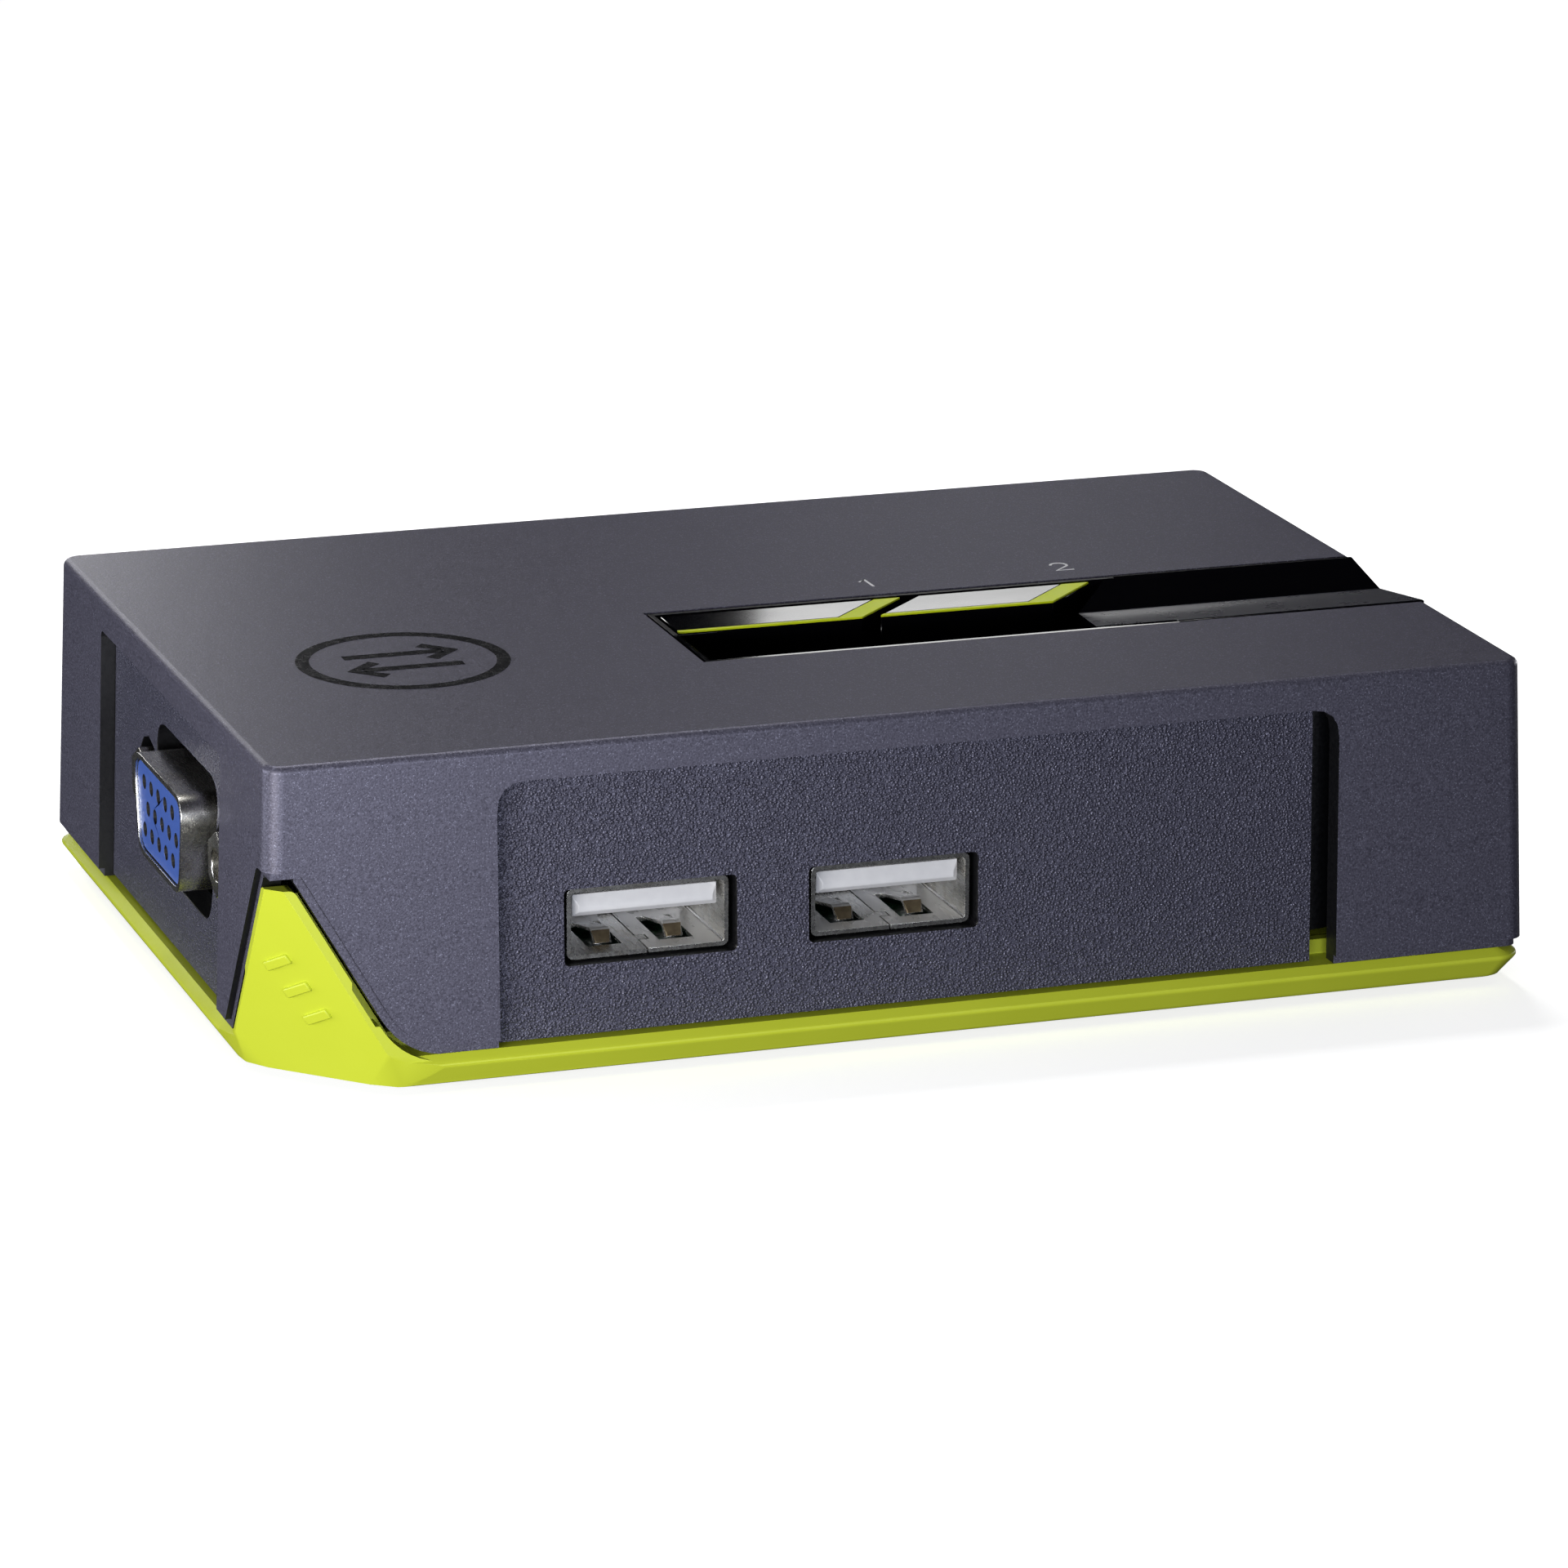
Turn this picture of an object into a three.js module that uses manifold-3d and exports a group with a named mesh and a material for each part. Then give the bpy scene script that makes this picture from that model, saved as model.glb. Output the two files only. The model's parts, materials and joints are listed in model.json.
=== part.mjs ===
// A two-computer KVM switch: a drafted black cover on a lime base, with port panels set into three
// sides, a gloss bezel with two push buttons on top, and a circuit board inside.
// Millimetres, +Z up, +Y to the back. The origin is under the middle of the whole object.
import * as THREE from "three";
import { mergeVertices } from "three/addons/utils/BufferGeometryUtils.js";
import Module from "manifold-3d";

const wasm = await Module();
wasm.setup();

// ---------------------------------------------------------------- driving dimensions
const WIDTH = 103.2; // cover's top outline, left to right
const DEPTH = 67.6; // cover's top outline, front to back
const TOP = 26.5; // cover's top face above the base's underside
const DRAFT = 0.032; // how far a side leans out for each millimetre down
const WALL = 2; // cover's side walls
const ROOF = 2.2; // cover's top wall
const CORNER = 1.45; // cover's upright corner radius
const EDGE = 0.6; // cover's top edge radius
const SKIN_BOTTOM = 3.4; // lower edge of the cover's outer skin
const LIP_BOTTOM = 2.72; // lower edge of the set-back lip below the skin
const LIP_INSET = 0.5;
const BASE_TOP = 2.6; // base plate's flat top
const BASE_FLOOR = 1.6; // bottom of the pocket inside the base
const BASE_CORNER = 2.2;
const FOOT_DROP = 0.8; // how far the feet stand below the base
const RECESS = 1.2; // how far the port panels lie behind the skin
const RECESS_TOP = 23.8;
const BOARD_TOP = 8; // circuit board's upper face
const BOARD_THICKNESS = 1.6;
const GAP = 0.3; // clearance between fitted pieces
const LINE = 0.15; // hairline clearance round a panel

const BOTTOM_X = WIDTH / 2 + DRAFT * (TOP - SKIN_BOTTOM); // half width at the skin's lower edge
const BOTTOM_Y = DEPTH / 2 + DRAFT * (TOP - SKIN_BOTTOM);

// ---------------------------------------------------------------- materials
const material = (color, roughness, metalness) =>
  new THREE.MeshStandardMaterial({ color, roughness, metalness });
const COVER = material(0x4a4c5e, 0.45, 0.3);
const PANEL = material(0x41445a, 0.6, 0.2);
const LIME = material(0xd2e03a, 0.4, 0);
const GLOSS = material(0x08080a, 0.08, 0);
const NICKEL = material(0xb9b4a8, 0.25, 1);
const WHITE = material(0xf0f0f0, 0.4, 0);
const BLUE = material(0x3f5fc0, 0.45, 0);
const BOARD = material(0x1d5a34, 0.5, 0);
const EPOXY = material(0x17171a, 0.5, 0);
const STEEL = material(0x8c8e92, 0.35, 1);
const RUBBER = material(0x1a1a1b, 0.85, 0);
const LED = material(0xd8f0d0, 0.2, 0);
const FOIL = material(0x5a6f9a, 0.35, 0.2);

// ---------------------------------------------------------------- solids
// A closed geometry as a solid that can be joined and cut.
function solid(geometry) {
  const bare = geometry.index ? geometry.toNonIndexed() : geometry.clone();
  bare.deleteAttribute("normal");
  bare.deleteAttribute("uv");
  const merged = mergeVertices(bare, 1e-4);
  return new wasm.Manifold(
    new wasm.Mesh({
      numProp: 3,
      vertProperties: new Float32Array(merged.attributes.position.array),
      triVerts: new Uint32Array(merged.index.array),
    }),
  );
}

const join = (...pieces) => pieces.reduce((sum, piece) => sum.add(piece));
const cut = (body, ...tools) => tools.reduce((rest, tool) => rest.subtract(tool), body);

// A named mesh made from a solid.
function mesh(name, body, finish) {
  const made = body.getMesh();
  const positions = new Float32Array(made.numVert * 3);
  for (let i = 0; i < made.numVert; i++) {
    const start = i * made.numProp;
    positions.set(made.vertProperties.subarray(start, start + 3), i * 3);
  }
  const geometry = new THREE.BufferGeometry();
  geometry.setAttribute("position", new THREE.BufferAttribute(positions, 3));
  geometry.setIndex(new THREE.BufferAttribute(new Uint32Array(made.triVerts), 1));
  geometry.computeVertexNormals();
  const node = new THREE.Mesh(geometry, finish);
  node.name = name;
  return node;
}

// ---------------------------------------------------------------- outlines and basic shapes
// A closed outline through corner points, each corner rounded by its own radius.
function outline(corners, radius) {
  const shape = new THREE.Shape();
  corners.forEach(([x, y, own = radius], i) => {
    const corner = new THREE.Vector2(x, y);
    const before = new THREE.Vector2(...corners[(i + corners.length - 1) % corners.length]);
    const after = new THREE.Vector2(...corners[(i + 1) % corners.length]);
    const back = before.sub(corner).normalize();
    const on = after.sub(corner).normalize();
    const halfAngle = Math.acos(THREE.MathUtils.clamp(back.dot(on), -1, 1)) / 2;
    const reach = own / Math.tan(halfAngle);
    const start = corner.clone().addScaledVector(back, reach);
    const end = corner.clone().addScaledVector(on, reach);
    if (i === 0) shape.moveTo(start.x, start.y);
    else shape.lineTo(start.x, start.y);
    if (own > 0) shape.quadraticCurveTo(corner.x, corner.y, end.x, end.y);
  });
  shape.closePath();
  return shape;
}

const rectangle = (x0, x1, y0, y1, radius = 0) =>
  outline([[x0, y0], [x1, y0], [x1, y1], [x0, y1]], radius);

// An outline in X and Y, raised from z0 to z1.
function raise(shape, z0, z1, curveSegments = 4) {
  const options = { depth: z1 - z0, bevelEnabled: false, curveSegments };
  return new THREE.ExtrudeGeometry(shape, options).translate(0, 0, z0);
}

// An outline in X and Z, running from y0 back to y1.
function runBack(shape, y0, y1, curveSegments = 4) {
  return raise(shape, 0, y1 - y0, curveSegments).rotateX(Math.PI / 2).translate(0, y1, 0);
}

// An outline in Y and Z, running from x0 to x1.
function runRight(shape, x0, x1, curveSegments = 4) {
  const turned = raise(shape, 0, x1 - x0, curveSegments);
  return turned.rotateX(Math.PI / 2).rotateZ(Math.PI / 2).translate(x0, 0, 0);
}

function box(x0, x1, y0, y1, z0, z1) {
  const geometry = new THREE.BoxGeometry(x1 - x0, y1 - y0, z1 - z0);
  return geometry.translate((x0 + x1) / 2, (y0 + y1) / 2, (z0 + z1) / 2);
}

function rod(radius, x, y, z0, z1, sides = 16) {
  const geometry = new THREE.CylinderGeometry(radius, radius, z1 - z0, sides);
  return geometry.rotateX(Math.PI / 2).translate(x, y, (z0 + z1) / 2);
}

// A rod lying front to back.
function rodBack(radius, x, z, y0, y1, sides = 16) {
  const geometry = new THREE.CylinderGeometry(radius, radius, y1 - y0, sides);
  return geometry.translate(x, (y0 + y1) / 2, z);
}

// A turned solid on the upright axis through x, y, from radius and height pairs.
function turned(profile, x, y, sides = 20) {
  const points = profile.map(([radius, z]) => new THREE.Vector2(radius, z));
  return new THREE.LatheGeometry(points, sides).rotateX(Math.PI / 2).translate(x, y, 0);
}

// The corner points of a rounded rectangle at one height, counter-clockwise from above.
function ring(halfX, halfY, radius, z, steps = 6) {
  const points = [];
  const centres = [[1, 1], [-1, 1], [-1, -1], [1, -1]];
  centres.forEach(([sx, sy], quarter) => {
    for (let step = 0; step <= steps; step++) {
      const angle = ((quarter + step / steps) * Math.PI) / 2;
      const x = sx * (halfX - radius) + radius * Math.cos(angle);
      const y = sy * (halfY - radius) + radius * Math.sin(angle);
      points.push(new THREE.Vector3(x, y, z));
    }
  });
  return points;
}

// A closed skin over a stack of rings with the same number of points, lowest first.
function loft(rings) {
  const count = rings[0].length;
  const positions = rings.flat().flatMap((point) => point.toArray());
  const faces = [];
  for (let level = 0; level < rings.length - 1; level++) {
    for (let i = 0; i < count; i++) {
      const a = level * count + i;
      const b = level * count + ((i + 1) % count);
      faces.push(a, b, b + count, a, b + count, a + count);
    }
  }
  const lastStart = (rings.length - 1) * count;
  for (let i = 1; i < count - 1; i++) {
    faces.push(0, i + 1, i);
    faces.push(lastStart, lastStart + i, lastStart + i + 1);
  }
  const geometry = new THREE.BufferGeometry();
  geometry.setAttribute("position", new THREE.Float32BufferAttribute(positions, 3));
  geometry.setIndex(faces);
  return geometry;
}

// ---------------------------------------------------------------- the leaning sides
// One ring of the cover's outside at a height, moved in by an inset.
function coverRing(z, inset) {
  const lean = DRAFT * (TOP - z) - inset;
  const radius = Math.max(CORNER - inset, 0.4);
  return ring(WIDTH / 2 + lean, DEPTH / 2 + lean, radius, z);
}

const coverHull = (inset, z0, z1) => solid(loft([coverRing(z0, inset), coverRing(z1, inset)]));

// A shape drawn on an upright front wall at y = 0, moved out and leaned onto the real wall.
function leanOnWall(geometry, halfDepth) {
  const lean = new THREE.Matrix4().set(
    1, 0, 0, 0,
    0, 1, DRAFT, -halfDepth - DRAFT * TOP,
    0, 0, 1, 0,
    0, 0, 0, 1,
  );
  return geometry.applyMatrix4(lean);
}

const FRONT = { halfDepth: DEPTH / 2, turn: 0 };
const LEFT = { halfDepth: WIDTH / 2, turn: -Math.PI / 2 };
const BACK = { halfDepth: DEPTH / 2, turn: Math.PI };

// Places a front-facing upright shape on one of the three sides that carry ports.
const onSide = (side, geometry) =>
  solid(leanOnWall(geometry, side.halfDepth).rotateZ(side.turn));

// Each recess, from its left end to its right end as seen from outside that side.
const RECESSES = [
  { name: "front_panel", side: FRONT, from: -33.6, to: 35.8, slot: 1.8, radius: 2.4 },
  { name: "left_panel", side: LEFT, from: -19, to: 20.2, slot: 0, radius: 0.6 },
  { name: "back_panel", side: BACK, from: -37, to: 37, slot: 0, radius: 2.4 },
];

// ---------------------------------------------------------------- the cut front-left corner
const FACET_LEG = 9.75; // how far the cut runs along each side of the base's underside
const FACET_TOP = 19.8; // height where the cut meets the cover's corner
const SKIN_NOTCH = { behind: 1.08, top: 18.2, radius: 1.1 }; // notch in the cover's outer skin
const LIP_NOTCH = { behind: 0.58, top: 17.6, radius: 0.9 }; // tighter notch through the whole wall
const RISER = { behind: 0.3, top: 16.7, radius: 0.8 }; // riser's outline on each wall
const CUT_SPARE = 0.35; // how far a notch runs past the inside of the wall that it cuts
const FACET_PLUG = 2.1; // riser's thickness inside the cover
const TURN = { long: 2.4, short: 0.8, top: 3.6 }; // soft turn from the facet into the base's sides
const BASE_INSET = 1.05; // base's underside outline, inside the skin's
const BLEND = 3.8; // reach of the round blend where the cut meets the front's lower edge

const facetOnLeft = new THREE.Vector3(-BOTTOM_X + BASE_INSET, -BOTTOM_Y + BASE_INSET + FACET_LEG, 0);
const facetOnFront = new THREE.Vector3(-BOTTOM_X + BASE_INSET + FACET_LEG, -BOTTOM_Y + BASE_INSET, 0);
const apexLean = DRAFT * (TOP - FACET_TOP);
const facetApex = new THREE.Vector3(-WIDTH / 2 - apexLean, -DEPTH / 2 - apexLean, FACET_TOP);
const facetPlane = new THREE.Plane().setFromCoplanarPoints(facetOnLeft, facetOnFront, facetApex);

// Everything outside the plane through a point.
function beyondPlane(normal, point) {
  const size = 90;
  const upright = new THREE.Vector3(0, 0, 1);
  const turn = new THREE.Quaternion().setFromUnitVectors(upright, normal);
  const slab = box(-size / 2, size / 2, -size / 2, size / 2, 0, size / 2);
  return solid(slab.applyQuaternion(turn).translate(...point.toArray()));
}

// Everything outside a plane that lies the given distance out from the facet.
const beyondFacet = (distance) =>
  beyondPlane(facetPlane.normal, facetApex.clone().addScaledVector(facetPlane.normal, distance));

const below = (z) => solid(box(-80, 80, -60, 60, -20, z));

// Where a plane parallel to the facet crosses a leaning wall at a height, along that wall's drawing.
function facetCrossing(side, z, distance) {
  const wall = -side.halfDepth - DRAFT * (TOP - z);
  const { normal, constant } = facetPlane;
  const reach = distance - constant - normal.z * z;
  if (side === FRONT) return (reach - normal.y * wall) / normal.x;
  return -(reach - normal.x * wall) / normal.y;
}

// A notch into one wall, from the cover's corner to a line parallel to the facet's edge.
function wallNotch(side, { behind, top, radius }, depth) {
  const corner = side === FRONT ? -60 : 60;
  const shape = outline([
    [corner, -1, 0],
    [facetCrossing(side, -1, -behind), -1, 0],
    [facetCrossing(side, top, -behind), top],
    [corner, top, 0],
  ], radius);
  return onSide(side, runBack(shape, -1, depth, 6));
}

// The corner between the facet's edge and a level edge on the front, filled by a round blend that
// runs on past both edges by a spare amount.
function cornerBlend(z, distance, reach, depth, spare) {
  const x = facetCrossing(FRONT, z, distance);
  const rise = new THREE.Vector2(facetCrossing(FRONT, z + reach, distance) - x, reach).setLength(reach);
  const shape = new THREE.Shape();
  shape.moveTo(x - spare, z - spare);
  shape.lineTo(x + rise.x - spare, z + rise.y);
  shape.lineTo(x + rise.x, z + rise.y);
  shape.quadraticCurveTo(x, z, x + reach, z);
  shape.lineTo(x + reach, z - spare);
  shape.closePath();
  return solid(leanOnWall(runBack(shape, depth[0], depth[1], 8), DEPTH / 2));
}

// Everything outside the plane through three points; the last way points outwards.
function beyondPoints(a, b, c, outward) {
  const plane = new THREE.Plane().setFromCoplanarPoints(a, b, c);
  if (plane.normal.dot(outward) < 0) plane.negate();
  return beyondPlane(plane.normal, a);
}

// The soft turn from the facet into one side of the base: cuts that fade out at a point above.
function softTurn(corner, alongFacet, alongSide, top) {
  const outward = corner.clone().setZ(0).normalize();
  const cuts = [[TURN.long, TURN.short], [TURN.short, TURN.long]].map(([onFacet, onSide]) =>
    beyondPoints(
      corner.clone().addScaledVector(alongFacet, onFacet),
      corner.clone().addScaledVector(alongSide, onSide),
      top,
      outward,
    ));
  return join(...cuts);
}

// ---------------------------------------------------------------- top bezel and buttons
const WELL = { left: -10.8, front: -14.8, back: 0.35, floor: 21.5 };
const GROOVE = { front: -14.7, valley: -5.3, back: 1.1, depth: 1.28, start: 22.9 };
const BEZEL_RIM = 0.4;
const BEZEL_SKIN = 1.2;
// The bezel's open well in plan: its right end follows the groove's slopes.
const WELL_RIGHT = [[22.9, WELL.front], [24.7, GROOVE.valley], [29.2, WELL.back]];
const BUTTON_TOP = 26.35;
const BUTTON_FRONT = -4.9;
const BUTTON_BACK = 0;
const BUTTON_BOTTOM = 22.6;
const STEM_Y = -2.5;
const TRIM = { front: 0.4, height: 0.2 };
const BUTTONS = [
  { name: "button_1", frontX: [-9.7, 6], backX: [-9.7, 11], trim: [3.7, 8.7], stemX: -1 },
  { name: "button_2", frontX: [7.6, 22.6], backX: [12.6, 27.6], trim: [20.2, 25.2], stemX: 17 },
];

// The groove's cross-section in Y and Z, sunk by a further amount.
function grooveProfile(sink, margin) {
  return outline([
    [GROOVE.front + margin, TOP + 2],
    [GROOVE.front + margin, TOP - sink],
    [GROOVE.valley, TOP - GROOVE.depth - sink],
    [GROOVE.back - margin, TOP - sink],
    [GROOVE.back - margin, TOP + 2],
  ], 0);
}

// ---------------------------------------------------------------- screws and posts
const CASE_SCREWS = [
  { name: "case_screw_front_left", x: -36, y: -26 },
  { name: "case_screw_front_right", x: 36, y: -26 },
  { name: "case_screw_back_left", x: -36, y: 26 },
  { name: "case_screw_back_right", x: 36, y: 26 },
];
const BOARD_SCREWS = [
  { name: "board_screw_left", x: -28, y: 6 },
  { name: "board_screw_right", x: 36, y: -8 },
];
const FEET = [
  { name: "foot_front_left", x: -43, y: -20 },
  { name: "foot_front_right", x: 43, y: -20 },
  { name: "foot_back_left", x: -43, y: 20 },
  { name: "foot_back_right", x: 43, y: 20 },
];
const SCREW = { shank: 1.25, head: 2.5, headHeight: 1.1, boss: 3, cover: 4 };
const FOOT = { radius: 5, recess: 0.5 };

// ---------------------------------------------------------------- casing
function topCover() {
  const edgeSteps = 4;
  const rings = [coverRing(SKIN_BOTTOM, 0)];
  for (let step = 0; step <= edgeSteps; step++) {
    const angle = ((step / edgeSteps) * Math.PI) / 2;
    rings.push(coverRing(TOP - EDGE * (1 - Math.sin(angle)), EDGE * (1 - Math.cos(angle))));
  }
  const inside = coverHull(WALL, -1, TOP - ROOF);
  const lip = coverHull(LIP_INSET, LIP_BOTTOM, SKIN_BOTTOM + 1);
  let cover = cut(join(solid(loft(rings)), lip), inside);
  for (const { x, y } of CASE_SCREWS) {
    const boss = solid(rod(SCREW.boss, x, y, SCREW.cover, TOP - ROOF / 2));
    cover = join(cover, boss);
  }
  for (const { x, y } of CASE_SCREWS) {
    cover = cut(cover, solid(rod(SCREW.shank + GAP, x, y, 0, 14, 12)));
  }
  for (const { side, from, to, radius } of RECESSES) {
    const corners = [[from, -2, 0], [to, -2, 0], [to, RECESS_TOP], [from, RECESS_TOP]];
    cover = cut(cover, onSide(side, runBack(outline(corners, radius), -2, 4)));
  }
  const wellHole = solid(box(WELL.left, 31.4, WELL.front, GROOVE.back, TOP - 5, TOP + 2));
  const grooveHole = solid(runRight(grooveProfile(BEZEL_SKIN + GAP, 0), 31, WIDTH));
  for (const side of [FRONT, LEFT]) {
    cover = cut(cover, wallNotch(side, SKIN_NOTCH, LIP_INSET), wallNotch(side, LIP_NOTCH, WALL + CUT_SPARE));
  }
  const skinBlend = cornerBlend(SKIN_BOTTOM - 0.1, -SKIN_NOTCH.behind, BLEND, [-1, LIP_INSET], 2.5);
  const lipBlend = cornerBlend(LIP_BOTTOM - 0.1, -LIP_NOTCH.behind, BLEND, [-1, 4], 2.5);
  return mesh("top_cover", cut(cover, wellHole, grooveHole, skinBlend, lipBlend), COVER);
}

// The base's side, from its underside edge round to its ledge, as height and inset pairs.
const BASE_SIDE = [
  [0, 1.4], [0.12, 1.16], [0.4, 0.98], [1.6, 0.12], [1.75, 0.02], [1.89, 0], [2.05, 0.05], [2.6, 0.75],
];

const RISER_INSET = 0.35; // a little proud of the lip

// The lime riser that closes the cut corner: a thin rim between the walls, a plug inside them.
function cornerRiser() {
  const inCorner = wallNotch(FRONT, RISER, 7).intersect(wallNotch(LEFT, RISER, 7));
  const hull = coverHull(RISER_INSET, 1.5, TOP);
  const rim = hull.intersect(beyondFacet(-RISER.behind)).intersect(below(RISER.top - RISER.radius));
  const block = hull.intersect(beyondFacet(-FACET_PLUG)).intersect(inCorner);
  const plug = coverHull(WALL + GAP + 0.1, 1.5, TOP).intersect(beyondFacet(-FACET_PLUG));
  const blend = cornerBlend(2.1, -RISER.behind, BLEND, [RISER_INSET, WALL + GAP + 0.3], 0.4);
  return join(rim, block, plug.intersect(below(RISER.top - RISER.radius)), blend);
}

function baseTray() {
  const plate = loft(BASE_SIDE.map(([z, inset]) =>
    ring(BOTTOM_X - inset, BOTTOM_Y - inset, BASE_CORNER - inset / 2, z)));
  const pocketRing = (inset, z) => ring(BOTTOM_X - inset, BOTTOM_Y - inset, 1, z);
  const pocket = solid(loft([pocketRing(4.7, BASE_FLOOR), pocketRing(4.7, 20)]));
  const rib = cut(
    solid(loft([pocketRing(3.7, 1), pocketRing(3.7, BASE_TOP + 1.2)])),
    solid(loft([pocketRing(4.7, 0), pocketRing(4.7, 20)])),
  );
  let base = join(cut(solid(plate), pocket), rib, cornerRiser());
  base = cut(base, beyondFacet(0));
  const alongFacet = facetOnLeft.clone().sub(facetOnFront).normalize();
  const frontTop = new THREE.Vector3(facetCrossing(FRONT, TURN.top, 0), -BOTTOM_Y, TURN.top);
  const leftTop = new THREE.Vector3(-BOTTOM_X, -facetCrossing(LEFT, TURN.top, 0), TURN.top);
  base = cut(base, softTurn(facetOnFront, alongFacet, new THREE.Vector3(1, 0, 0), frontTop));
  base = cut(base, softTurn(facetOnLeft, alongFacet.negate(), new THREE.Vector3(0, 1, 0), leftTop));
  for (const { x, y } of CASE_SCREWS) {
    base = join(base, solid(rod(SCREW.boss + 0.4, x, y, 1, SCREW.cover - GAP)));
    base = cut(base, solid(rod(SCREW.shank + GAP, x, y, -1, 5, 12)));
    base = cut(base, solid(rod(SCREW.head + GAP, x, y, -1, SCREW.headHeight + 0.5)));
  }
  for (const { x, y } of BOARD_SCREWS) {
    base = join(base, solid(rod(2.6, x, y, 1, BOARD_TOP - BOARD_THICKNESS)));
    base = cut(base, solid(rod(1.2, x, y, 2, BOARD_TOP, 12)));
  }
  for (const { x, y } of FEET) {
    base = cut(base, solid(rod(FOOT.radius + GAP, x, y, -1, FOOT.recess, 24)));
  }
  const labelArea = solid(raise(rectangle(-26, 26, -15, 15, 1.5), -1, 0.25));
  return mesh("base_tray", cut(base, labelArea), LIME);
}

// A port panel: a slab in its recess, with a flange behind the cover's wall.
function portPanel({ name, side, from, to, slot, radius }, openings) {
  const bottom = BASE_TOP + GAP;
  const left = from + LINE;
  const right = to - (slot || LINE);
  const top = RECESS_TOP - LINE;
  const slabCorners = [[left, bottom, 0], [right, bottom, 0], [right, top, slot ? 0.3 : radius], [left, top]];
  const slab = onSide(side, runBack(outline(slabCorners, radius), RECESS, 3.3));
  const flangeRight = slot ? right : right + 1.4;
  const flange = box(left - 1.4, flangeRight, WALL + GAP + 0.1, 3.3, bottom, TOP - ROOF - GAP);
  let panel = join(slab, onSide(side, flange));
  for (const opening of openings) {
    panel = cut(panel, onSide(side, runBack(opening, -1, 5, 6)));
  }
  return mesh(name, panel, PANEL);
}

// ---------------------------------------------------------------- USB sockets
const USB = { z: 11.46, xs: [-21.04, -1.18], width: 13.1, height: 5.7, wall: 0.35, length: 14, sunk: 0.8 };
const USB_FACE = -DEPTH / 2 - DRAFT * (TOP - USB.z) + RECESS + USB.sunk;
const usbOpening = (x) => rectangle(x - 7, x + 7, USB.z - 3.05, USB.z + 3.05, 0.5);

const LEAF = { apart: 2.9, halfWidth: 0.75, slotHalfWidth: 1.4, slotFront: 1.9, slotBack: 8, root: 8.4 };

// A spring leaf's side view: it rises from its root towards the front, and its tip turns down.
function leafProfile(floor) {
  const root = floor - USB.wall + 0.05;
  return outline([
    [USB_FACE + LEAF.root, root],
    [USB_FACE + LEAF.root, root + 0.25],
    [USB_FACE + 3.6, floor + 0.95],
    [USB_FACE + 3.1, floor + 0.85],
    [USB_FACE + 2.5, floor - 0.05],
    [USB_FACE + 2.75, floor - 0.05],
    [USB_FACE + 3.25, floor + 0.6],
    [USB_FACE + 3.6, floor + 0.68],
  ], 0);
}

// The seam where the folded sheet meets under the socket, with one step that interlocks.
function shellSeam(x, floor, back) {
  const half = 0.06;
  const step = 0.8;
  const slit = (x0, x1, y0, y1) =>
    solid(box(x0 - half, x1 + half, y0 - half, y1 + half, floor - 1, floor + 0.1));
  const stepFront = USB_FACE + 2.4;
  const stepBack = USB_FACE + 3.6;
  return join(
    slit(x, x, USB_FACE - 1, stepFront),
    slit(x, x + step, stepFront, stepFront),
    slit(x + step, x + step, stepFront, stepBack),
    slit(x, x + step, stepBack, stepBack),
    slit(x, x, stepBack, back + 1),
  );
}

// The folded nickel shell, with two spring slots in its floor and a spring leaf in each.
function usbShell(name, x) {
  const back = USB_FACE + USB.length;
  const halfWidth = USB.width / 2;
  const halfHeight = USB.height / 2;
  const outer = rectangle(x - halfWidth, x + halfWidth, USB.z - halfHeight, USB.z + halfHeight, 0.6);
  const w = halfWidth - USB.wall;
  const h = halfHeight - USB.wall;
  const floor = USB.z - h;
  const inner = rectangle(x - w, x + w, floor, USB.z + h, 0.3);
  let shell = cut(solid(runBack(outer, USB_FACE, back)), solid(runBack(inner, USB_FACE - 1, back + 1)));
  shell = cut(shell, shellSeam(x, floor, back));
  for (const side of [-1, 1]) {
    const middle = x + side * LEAF.apart;
    const slot = box(
      middle - LEAF.slotHalfWidth, middle + LEAF.slotHalfWidth,
      USB_FACE + LEAF.slotFront, USB_FACE + LEAF.slotBack, USB.z - 4, floor + 0.1,
    );
    const leaf = runRight(leafProfile(floor), middle - LEAF.halfWidth, middle + LEAF.halfWidth);
    shell = join(cut(shell, solid(slot)), solid(leaf));
  }
  return mesh(name, shell, NICKEL);
}

// The white tongue with its contacts' block at the back of the shell.
function usbTongue(name, x) {
  const back = USB_FACE + USB.length;
  const tongueProfile = outline([
    [USB_FACE + 0.5, USB.z + 0.35],
    [back - 4, USB.z + 0.35],
    [back - 4, USB.z - 2.2],
    [back - 0.3, USB.z - 2.2],
    [back - 0.3, USB.z + 2.35],
    [back - 4, USB.z + 2.35],
    [back - 4, USB.z + 2.1],
    [USB_FACE + 0.9, USB.z + 2.1],
    [USB_FACE + 0.5, USB.z + 1.7],
  ], 0);
  const halfWidth = 5.85;
  const tongue = solid(runRight(tongueProfile, x - halfWidth, x + halfWidth));
  return mesh(name, tongue, WHITE);
}

// ---------------------------------------------------------------- 15-pin video sockets
const VIDEO = {
  z: 14.27, shellWidth: 16.3, shellHeight: 8.3, shellWall: 0.45, reach: 5.9,
  flangeWidth: 30.8, flangeHeight: 12.5, flangeThickness: 0.8, screwSpacing: 24.99, proud: 1.1, pinHole: 0.62,
};
const VIDEO_PORTS = [
  { name: "console_video", side: LEFT, x: 5.2 },
  { name: "computer_1_video", side: BACK, x: 17 },
  { name: "computer_2_video", side: BACK, x: -17 },
];
const screwOffsets = [-VIDEO.screwSpacing / 2, VIDEO.screwSpacing / 2];

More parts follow.
